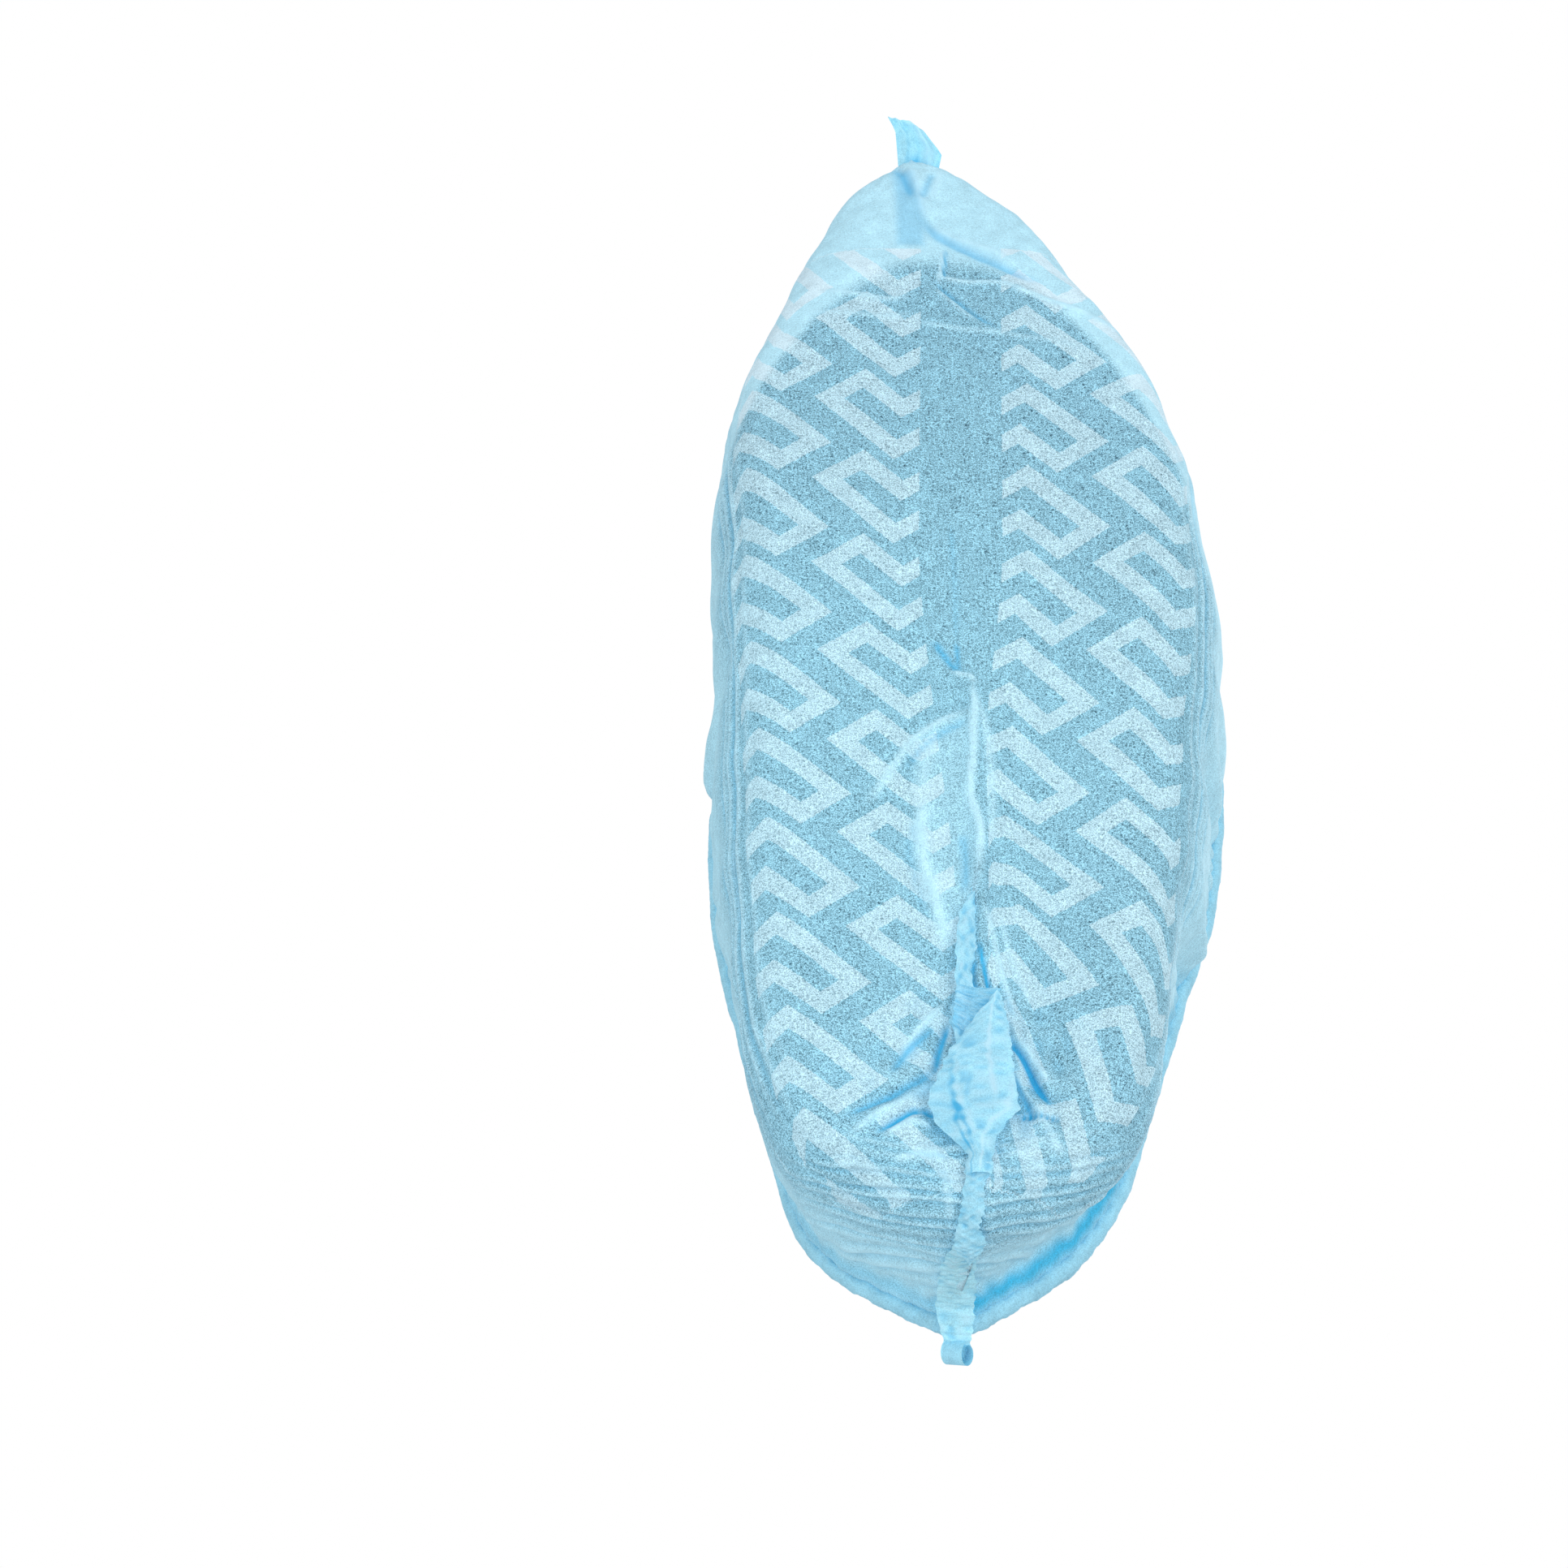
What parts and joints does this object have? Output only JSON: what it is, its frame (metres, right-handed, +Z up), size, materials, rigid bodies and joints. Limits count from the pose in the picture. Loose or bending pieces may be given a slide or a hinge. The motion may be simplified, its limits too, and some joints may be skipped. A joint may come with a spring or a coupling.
{
  "type": "shoe cover",
  "caption": "Disposable non-woven shoe cover in its worn form, with a gathered elastic hem and sewn toe and heel seams.",
  "frame": {"origin": "middle of the foot seat, on the inner face of the sole under the middle of the shoe", "axes": "+Z up out of the opening, toe towards -Y, heel towards +Y, +X to the wearer's left"},
  "size_m": [0.1356, 0.3706, 0.0961],
  "materials": {
    "spunbond_sheet": "matt point-bonded non-woven polypropylene with a pale anti-slip print",
    "rolled_hem": "gathered rolled edge over an elastic thread",
    "seam_allowance": "two layers of non-woven, overlocked"
  },
  "bodies": {
    "root": {"cover_body": "spunbond_sheet", "elastic_hem": "rolled_hem", "toe_seam": "seam_allowance", "heel_seam": "seam_allowance", "toe_tab": "seam_allowance"}
  },
  "joints": []
}
